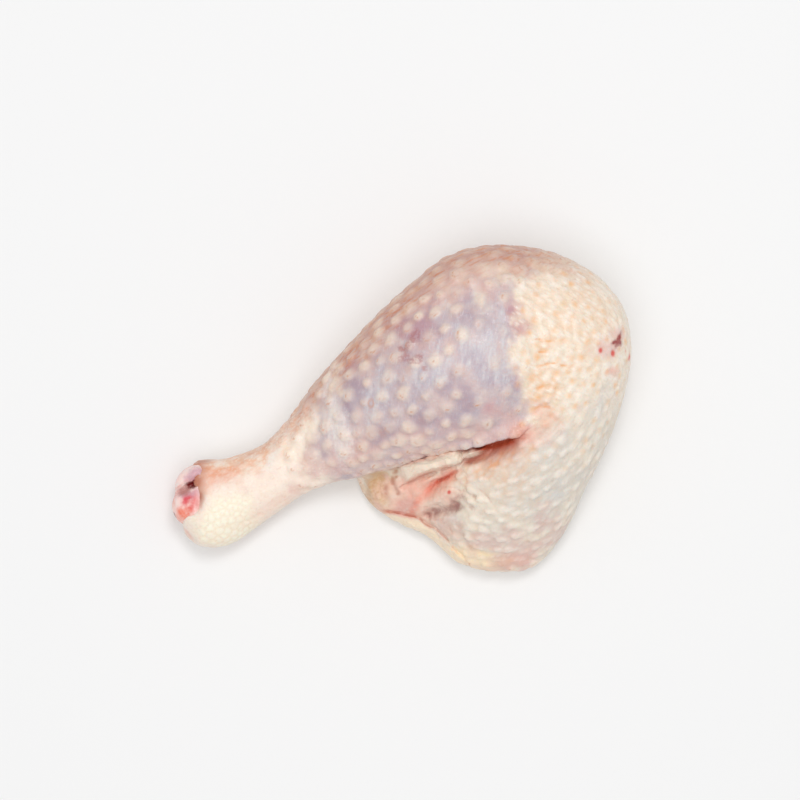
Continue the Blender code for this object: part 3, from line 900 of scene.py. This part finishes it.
# %% Fat, warmth and greyness
turned = rise(clay.smooth_facing[:, 2], 0.93, 0.45) * (lip.off > 0)  # the side towards the shin
outer = rise(clay.smooth_facing[:, 1], -0.1, 0.25)
low_down = rise(clay.points[:, 2], 20, 6)
kneeward = rise(x, 66, 34) * (0.3 + 0.7 * rise(x, -40, -22))
film = clay.patch(-63.4, -18, 1.8, 3, -20, 0.8)
# partly painted shade: the drumstick's sloping upper flank is painted darker tan the more it turns
# away from above, partly the skin's own tan
tan = turned * (1 - 0.7 * low_down) * outer * kneeward
lobe = clay.patch(-6.4, -25.4, 4.2, 9, 8, 0.5) * (lip.off < 0)
fat = most(
    0.6 * lobe, 0.4 * on_pad * rise(y, -32, -40),
    clay.patches(
        (25, -46.4, 9, 2.6, -16, 1, 0.6), (19.5, -47, 9, 2.6, -28, 1, 0.5),
        (54.6, 2.4, 5, 3, 20, 0.25), (-34.6, -13.6, 5.6, 6.6, 40, 0.3)))
warm = most(
    clay.patch(41.6, 2.6, 5.4, 14, 6, BLUR) * thick_side,
    clay.patches(
        (50, 29, 12, 10, 0, 0.35), (-51, -16, 13, 3.4, 22, 0.8), (30, 46, 26, 5, -4, 0.3, 0.6),
        (33.6, -20, 8, 6, -30, 0.4), (28, -17.4, 9, 2.8, 24), (-60, -19, 5, 4, 30, 0.5)))
grey = clay.patches(
    (47, -22, 14, 15, 20), (16, -36.6, 6.4, 4, -40, 1, 0.7), (61, -4, 5, 14, -16, 0.8),
    (-24.3, -14.3, 4.2, 3.4, 10, 0.8), (27, -38, 8, 6, 0, 0.6))
peach = clay.patches(
    (-50, -15.4, 15, 5.2, 24, 1, 0.5), (-34.5, -3.2, 12, 4.2, 46, 1, 0.6),
    (-63.5, -21.5, 3, 6, 0, 0.8, 1), (-39, -31, 12, 2, 30, 0.2, 1), (42, -4, 6, 7, 20, 0.35, 1))
# the lobe's own ochre fat, with painted shade along the lobe creases and the line above the web
ochre = most(clay.patch(-8.2, -25.4, 4.4, 9.4, 8, 0.6) * (lip.off < 0), lobe_dark, 0.8 * web_line)
print("fat over", percent(fat), "and warmth over", percent(warm), "of the net")

# %% Redness and shade in the folds
lower_side = (lip.off < 0) * clay.above
deep_end = rise(x, 20, 27)  # where the drumstick stands well clear of the thigh
beside_lip = fading(-lip.off, 4) * rise(x, 16, 24) * rise(x, 45, 36)
redden = most(
    0.8 * groove_wide, 0.7 * beside_lip * lower_side,
    0.4 * clay.patch(5.4, -25.6, 8, 4, 32, BLUR) * lower_side,
    clay.patches(
        (6.6, -27.4, 4.8, 1.5, 56, 1, 1.1), (64.8, 12.1, 1.6, 1, 20, 0.45, 1.2),
        (-58, -22, 8, 3, 20, 0.35), (41, -6, 6, 3.4, 30, 0.6), (38.6, -48.4, 9, 2.2, 12, 0.25),
        (-44, -32, 12, 2, 30, 0.15), (12, -36, 8, 4, -30, 0.25),
        (-68.4, -39.4, 2.8, 0.35, -52, 0.45, 1)))
mauve = clay.patches((39, -43, 13, 6.6, 22), (28, -42.4, 6, 4), (1.6, -30.6, 3, 2, 30), soft=1.3)
under_lip = fading(-lip.off - 1.8 * deep_end, 0.5 + 2.2 * deep_end) * rise(lip.off, 0.5, -0.5)
under_lip = under_lip * rise(x, -10, 0) * rise(x, 39.5, 34)
shade = most(
    under_lip, 0.8 * under_roll * rise(x, 17, 20) * (1 - roll_top), 0.4 * web_dark,
    0.5 * lobe_dark, rim_dark * (0.7 - 0.4 * rise(x, 4, 10)), 0.2 * fold_line,
    0.25 * wrinkle_dark) * clay.above
# painted shade: the hollow below the groove and the fine creases near it are painted a dark
# mauve-brown
dusk = most(
    0.85 * hollow, 0.8 * dark_hollow * clay.broken, 0.3 * hollow_edge, 0.6 * needle,
    0.5 * upper_needle, 0.2 * fold_line,
    clay.patches((16.6, -30, 1.4, 1.8, 0, 0.6), (18.8, -27.4, 1.6, 1.4, 0, 0.6), soft=1.2))
pocket = clay.patch(5, -27, 13, 8, 30, 0.5) * lower_side * rise(lip.off, 0, -2)
rim = Beside(clay, RIM_CREASE)
# partly painted light: the rolled rim is painted paler than its own cream, so that it looks lit where
# it turns down
rim_band = most(
    rise(rim.off, 0.3, 1.2) * rise(rim.off, 6, 3.5) * rim.along(0.1) * clay.above,
    0.6 * clay.patch(21.4, -46.8, 8, 2.6, -28, 0.6))
print("redness over", percent(redden), "and shade over", percent(shade), "of the net")

# %% Blood
near_top = rise(clay.smooth_facing[:, 2], 0.05, 0.35)  # keeps the marks from running down the side
blood = near_top * clay.patches(
    (61.2, 18.2, 0.55, 0.65), (65.3, 17.4, 0.55, 0.8, 10), (71, 16.6, 0.5, 1.2),
    (69.6, 18.2, 0.35, 1, 10), (14.8, -25.9, 0.4, 0.45), soft=1.1)
clot = near_top * clay.patches(
    (67.2, 21.8, 0.6, 2.2, -20), (66.6, 21.2, 1.6, 0.5, 22), (67.6, 20.8, 0.9, 0.9))
around_blood = clay.patches((67.6, 23.2, 2, 2.6, -20), (64, 18.4, 4, 2.6))
print("blood on", int((blood > 0.5).sum()), "points of the net")

# %% Keep the layers on the net
dome = most(drum_tint * (1 - 0.3 * smooth_belly), thigh_tint, 0.3 * shank_dome,
            pad_dome * on_pad)
pore = most(1.2 * drum_pore, 0.3 * drum_spot, 0.5 * thigh_pore * rise(y, -30, 0),
            0.35 * shank_pore) * on_skin
clay.paint(
    thin=thin * on_skin, violet=violet * most(thin, 0.8 * (up_leg < -20)), rose=rose, plum=plum,
    haze=haze, white=white, bruise=bruise, fat=fat, ochre=ochre, warm=warm, peach=peach, grey=grey,
    # painted shade on the upper flank, together with the hock's own tan film
    tan=most(tan * on_skin * rise(x, -58, -48), 0.4 * film), mauve=mauve, shade=shade,
    redden=redden, ember=groove_fine * clay.above, dusk=dusk, blood=blood, clot=clot,
    halo=around_blood, low=rise(y, 6, -8) * on_thigh, dome=dome,
    spot=most(thigh_spot * (0.25 + 0.75 * rise(y, -24, 8)), 0.4 * drum_spot * tan),
    pore=most(pore, 0.8 * brown_ring), thigh=on_thigh * on_skin * (1 - 0.8 * on_lobe),
    knee=knee_folds, web=most(web_top, roll_top), rim=rim_band, pocket=pocket, pad=on_pad,
    shank=rise(up_leg, -18, -36) * (1 - thin),
    torn=rise(behind_cut, 3.8, 1) * rise(y, -32, -27) * clay.above)

# %% [markdown]
# ## The finish of raw skin
#
# The finish starts from cream, and lays each layer's colour over the ones before it. Its edges are
# broken up by noise, so that no border looks drawn. Each cell below lays the coats of one kind:
# the skin and its fat, the muscle under it, the mounds and their painted highlights, and last the
# redness of folds, the painted shade in them, the painted light on the web and rim, and blood.
# Skin lets light in a little way, so a small part of it goes under the surface, and it is moist, so
# it has a thin clear coat.

# %% The grain of the skin
finish = Finish("raw_skin")
fine = finish.grain(1, 4)
soft = finish.grain(4, 4)
wide = finish.grain(13, 3)
patchy = finish.grain(9, 4, stretch=(1, 1.6, 1), turn=(0, 0, 0.4))
lengthways = finish.grain(1.7, 4, stretch=(2.2, 1, 1), turn=(0, 0, 0.5))
streaks = finish.grain(0.9, 3, stretch=(7, 1, 2), turn=(0, 0, 0.5))
ACROSS = (0, 0, -0.12)  # the way the pale fibres run
fibres = finish.grain(0.4, 3, stretch=(1, 6, 6), turn=ACROSS)
long_fibres = finish.grain(1.4, 3, stretch=(1, 5, 5), turn=ACROSS)
SPECK = (1.7, 0.75, 1)
knee_specks = finish.cells(1.9, stretch=SPECK, turn=(0, 0, -0.5))
low_specks = finish.cells(2.1, stretch=SPECK, turn=(0, 0, 0.8))
specks = knee_specks + (low_specks - knee_specks) * finish.layer("low")
spots = finish.cells(1.1)
rough_edge = (soft - 0.5) * 0.9 + (fine - 0.5) * 0.5


def showing(name, low=0.15, high=0.95):
    """A layer of the finish in hand, with its edge broken up."""
    layer = finish.layer(name)
    return (layer + rough_edge * layer.band(0, 0.25)).band(low, high)


dome_layer, thin_layer, thigh_layer, shank_layer = (
    finish.layer(name) for name in ("dome", "thin", "thigh", "shank"))
warm_layer, tan_layer, low_layer, pad_layer = (
    finish.layer(name) for name in ("warm", "tan", "low", "pad"))
between_domes = 1 - dome_layer

# %% Skin and fat
CREAM = seen(240, 221, 199)
PALE_AND_HIGHLIGHT = seen(252, 241, 228)
THIGH = seen(242, 232, 216)
SHANK = seen(252, 234, 220)
WARM = seen(240, 188, 140)
PEACH = seen(240, 172, 128)
GREY = seen(215, 214, 211)
VALLEY = seen(212, 200, 184)
FAT = seen(252, 226, 182)
PAD_LINES = seen(250, 236, 210)
PAD = seen(255, 248, 228)
OCHRE_AND_CREASE_SHADE = seen(206, 160, 112)
POCKET = seen(240, 204, 186)
MAUVE = seen(222, 192, 184)

colour = finish.coats(
    CREAM,
    (soft.band(0.35, 0.7), PALE_AND_HIGHLIGHT),
    (thigh_layer * (low_layer * 0.5 + 0.2), THIGH),
    (shank_layer * (soft * 0.4 + 0.6), SHANK),
    (warm_layer * soft.band(0.3, 0.65) * 0.65, WARM),
    (finish.layer("peach") * lengthways.band(0.36, 0.66) * 0.65, PEACH),
    (finish.layer("grey") * wide.band(0.15, 0.65) * 0.8, GREY),
    (low_layer * between_domes * soft.band(0.3, 0.6) * 0.5, VALLEY),
    (showing("fat") * 0.8, FAT),
    (pad_layer * 0.8, PAD_LINES),
    (pad_layer * dome_layer, PAD),
    # the lobe's own ochre, and painted shade in its creases and above the web
    (finish.layer("ochre") * (streaks * 0.8 + 0.35), OCHRE_AND_CREASE_SHADE),
    (showing("pocket", 0, 0.8) * 0.8, POCKET),
    (showing("mauve") * 0.7, MAUVE))
print(len(finish.tree.nodes), "nodes so far")

# %% Muscle, vessels and fibres under thin skin
THIN = seen(197, 182, 188)
MOTTLE = seen(226, 198, 188)
VIOLET = seen(170, 148, 162)
ROSE = seen(222, 184, 177)
PLUM = seen(190, 138, 150)
FLANK_SHADE_AND_TAN = seen(196, 150, 138)
STREAK = seen(204, 124, 84)
SLATE = seen(192, 186, 198)
HAZE = seen(218, 214, 216)

thin_share = (thin_layer + (soft - 0.5) * thin_layer.band(0, 0.3) * 0.5).band(0.05, 1)
fibrous = thin_share * between_domes * wide.band(0.3, 0.6)
hazy = showing("haze", 0, 1.1)
colour = finish.coats(
    colour,
    (thin_share, THIN),
    (thin_share * patchy.band(0.42, 0.62) * 0.55, MOTTLE),
    (thin_share * patchy.band(0.48, 0.3) * soft.band(0.3, 0.7) * 0.5, VIOLET),
    (showing("rose", 0, 1.1) * 0.7, ROSE),
    (showing("violet", 0, 1.2) * 0.75, VIOLET),
    (showing("plum", 0, 1.3) * 0.6, PLUM),
    # painted shade on the sloping upper flank, together with the skin's own tan and streaks
    (tan_layer * (soft * 0.5 + 0.65), FLANK_SHADE_AND_TAN),
    (tan_layer * streaks.band(0.46, 0.68) * 0.75, STREAK),
    (hazy * 0.45, SLATE),
    (hazy * long_fibres.band(0.3, 0.7) * 0.75, HAZE),
    (fibrous * fibres.band(0.55, 0.75) * 0.5, HAZE),
    (fibrous * fibres.band(0.42, 0.25) * 0.4, VIOLET))
print(len(finish.tree.nodes), "nodes so far")

# %% Mounds, and the specks between them
ORANGE = seen(240, 172, 112)
WHITE = seen(248, 240, 233)
DOME = seen(242, 223, 204)
SPOT = seen(246, 186, 124)

valley = specks.band(0.3, 0.75) * thigh_layer * (warm_layer * 0.95 + 0.05) * soft.band(0.25, 0.6)
colour = finish.coats(
    colour,
    (valley * 0.75, WARM),
    (finish.layer("knee") * soft.band(0.2, 0.5) * 0.9, ORANGE),
    # painted highlights: pale glints in the specks of the knee and thigh
    (specks.band(0.42, 0.1) * thigh_layer * (0.6 - low_layer * 0.35), PALE_AND_HIGHLIGHT),
    (spots.band(0.5, 0.1) * shank_layer * 0.35, PALE_AND_HIGHLIGHT),
    (showing("white", 0, 1.2) * (long_fibres * 0.8 + 0.3) * 0.9, WHITE),
    (dome_layer.band(0, 0.95) * thin_share * (soft * 0.6 + 0.35), DOME),
    (dome_layer * tan_layer * 0.5, CREAM),
    # painted highlights on the tops of the thigh's mounds
    (dome_layer.band(0.1, 0.9) * thigh_layer * 0.45, PALE_AND_HIGHLIGHT),
    (finish.layer("spot") * fine.band(0.2, 0.6) * 0.75, SPOT))
print(len(finish.tree.nodes), "nodes so far")

# %% Redness, shade and blood
BRUISE = seen(170, 106, 108)
HALO = seen(226, 182, 178)
RED = seen(234, 128, 104)
WEB_CREAM_AND_LIGHT = seen(248, 230, 210)
RIM_CREAM_AND_LIGHT = seen(254, 232, 204)
EMBER = seen(204, 94, 68)
HOLLOW_SHADE = seen(154, 98, 94)
TORN = seen(192, 122, 98)
PORE = seen(204, 138, 98)
SHADE = seen(176, 80, 54)
BLOOD = seen(224, 66, 52)
CLOT = seen(150, 32, 38)

colour = finish.coats(
    colour,
    (showing("bruise", 0, 1.2) * fine.band(0.28, 0.66) * 0.75, BRUISE),
    (showing("halo", 0, 1.2) * 0.6, HALO),
    (finish.layer("redden") * (soft * 0.6 + 0.55), RED),
    # partly painted light: the web's cream is painted paler than the skin round it, so that it looks
    # lit under the overhanging lip
    (finish.layer("web") * (soft.band(0.25, 0.5) * 0.5 + 0.4), WEB_CREAM_AND_LIGHT),
    # partly painted light on the rolled rim
    (finish.layer("rim") * 0.9, RIM_CREAM_AND_LIGHT),
    (finish.layer("ember") * 0.9, EMBER),
    # painted shade in the hollow and its creases
    (showing("dusk", 0, 1.2) * (soft.band(0.3, 0.6) * 0.6 + 0.25), HOLLOW_SHADE),
    (finish.layer("torn") * (soft.band(0.3, 0.6) * 0.35 + 0.6), TORN),
    (fine.band(0.5, 0.75) * 0.14, PALE_AND_HIGHLIGHT),
    (fine.band(0.48, 0.25) * 0.12, STREAK),
    (finish.layer("pore") * fine.band(0.25, 0.55) * 0.8, PORE),
    (finish.layer("shade"), SHADE),
    (finish.layer("blood").band(0, 0.9) * 0.85, BLOOD),
    (showing("clot", 0, 1) * 0.9, CLOT))

# %% Relief and gloss
PIMPLE = 0.9  # the finest pimples of all, too small to be in the net

relief = finish.bump(fine + finish.cells(PIMPLE) * 0.5, 0.4, 0.3)
relief = finish.bump(fibres, 0.15, 0.12, under=relief)
relief = finish.bump(specks * thigh_layer * -1, 0.55, 0.45, under=relief)
skin.data.materials.append(finish.shade({
    "Base Color": colour, "Roughness": 0.34 + fine * 0.16, "Normal": relief, "IOR": 1.34,
    "Subsurface Weight": 0.12, "Subsurface Radius": (1, 0.45, 0.3), "Subsurface Scale": 0.0016,
    "Coat Weight": 0.12, "Coat Roughness": 0.1}))
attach(skin, "root")
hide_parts("leg_meat")

# %% [markdown]
# ## The joint at the hock
#
# The shank bone ends in two rounded knobs under smooth pearly cartilage, pink and violet where the
# bone's marrow shows through. Between them is a deep notch with torn tissue and dark blood. It
# could be worked from the skin's own net, but it is a harder, wetter stuff with a sharp border, so
# it is a piece of its own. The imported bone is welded, melted into a net like the skin's, and halved
# at the joint, the only part that shows. Then the notch is sunk and the knobs get their edges.

# %% The bone as clay
BONE_NET = 1.1 * MM
JOINT_END = -57  # only what lies beyond this shows

form = bmesh.new()
welded(form, "shank_bone")
bone = as_object("hock_cartilage", form)
melt(bone, BONE_NET, smoothing=2)
for _ in range(2):
    halve(bone, lambda face: face.calc_center_median().x < JOINT_END * MM)
smoothed(bone, times=3)
joint = Clay(bone)
print("the bone's net has", joint.count, "points")

# %% The notch and the edges of the knobs
NOTCH = ((-63, -21.6), (-65, -23), (-67, -24), (-69, -25.4), (-71.4, -27))
KNOB_EDGE = ((-63.2, -20.8), (-65.2, -21.9), (-67.4, -22.6), (-69.2, -24), (-71.4, -26.2))
NOTCH_DEPTH = 2.6
LOWER_SLIT = ((-71.6, -32.2), (-71.2, -33.6), (-70.4, -35))

notch = joint.groove(NOTCH, NOTCH_DEPTH, 3.6, fade=0.15)
knob_edge = joint.fold(KNOB_EDGE, 0.9, 1.6, reach=1.3, wide=2.2, fade=0.12, edge=0.35)
slit = joint.groove(LOWER_SLIT, 0.8, 1.5, fade=0.3)
uneven = 0.2 * joint.grain(4, 1, seed=4)
joint.shift += joint.facing * uneven[:, None]
joint.shift[:, 2] += 1.5 * rise(joint.plan[:, 0], -68.5, -64.5) * joint.above * (1 - notch)
joint.shift[:, 0] -= 0.8 * rise(joint.plan[:, 0], -66.5, -71)
joint.press()
print("the notch is", round(float(notch.max() * NOTCH_DEPTH), 1), "mm deep")

# %% Paint the cartilage
inner = rise(joint.plan[:, 0], -67, -63.6) * rise(joint.plan[:, 1], -24.4, -26.4) * joint.above
joint.paint(
    deep=most(joint.patch(-65.4, -23.2, 2.6, 1, 26, 0.9), 0.7 * slit),
    tissue=joint.patch(-68.8, -25.9, 2.4, 1.3, 30, 0.8),
    stain=joint.patches((-68, -29, 1.3, 1.8), (-65.8, -29.6, 2.6, 2.6, 0, 0.7), soft=1.2),
    orange=joint.patches((-68.2, -32.4, 2, 3.6, -40), (-71.6, -29, 0.8, 3.4, 0, 0.6, 1), soft=1.2),
    plum=joint.patches((-65.6, -20.8, 2.4, 1.4, 50), (-67.4, -27, 3.2, 1.2, 10, 1, 1.2)),
    film=inner, rim=most(0.7 * knob_edge, rise(joint.smooth_facing[:, 2], 0.35, -0.1)))

# %% The finish of cartilage
PEARL = seen(254, 217, 209)
MILK = seen(250, 226, 220)
FILM = seen(244, 208, 202)
MARROW = seen(206, 158, 172)
STAIN = seen(226, 50, 70)
RUST = seen(244, 136, 106)
TISSUE = seen(190, 128, 122)
DEEP = seen(122, 14, 14)
RIM = seen(236, 128, 104)

finish = Finish("wet_cartilage")
fine = finish.grain(0.8, 3)
soft = finish.grain(2.4, 3)
rough_edge = (soft - 0.5) * 0.9 + (fine - 0.5) * 0.5
colour = finish.coats(
    PEARL,
    (soft.band(0.3, 0.7), MILK),
    (finish.layer("rim") * 0.6, RIM),
    (showing("plum", 0, 1) * 0.8, MARROW),
    (showing("orange", 0, 1.3) * (soft.band(0.3, 0.6) * 0.4 + 0.6), RUST),
    (showing("stain", 0, 1.2) * 0.9, STAIN),
    (showing("tissue", 0, 0.9) * 0.8, TISSUE),
    (showing("deep", 0, 0.9), DEEP),
    (showing("film", 0, 1.4) * 0.5, FILM))
relief = finish.bump(soft + fine * 0.2, 0.2, 0.15)
bone.data.materials.append(finish.shade({
    "Base Color": colour, "Roughness": 0.34, "Normal": relief, "IOR": 1.36,
    "Subsurface Weight": 0.15, "Subsurface Radius": (1, 0.5, 0.4), "Subsurface Scale": 0.0014,
    "Coat Weight": 0.12, "Coat Roughness": 0.1}))
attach(bone, "root")
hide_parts("shank_bone")
print("the joint has", triangles(bone), "triangles")
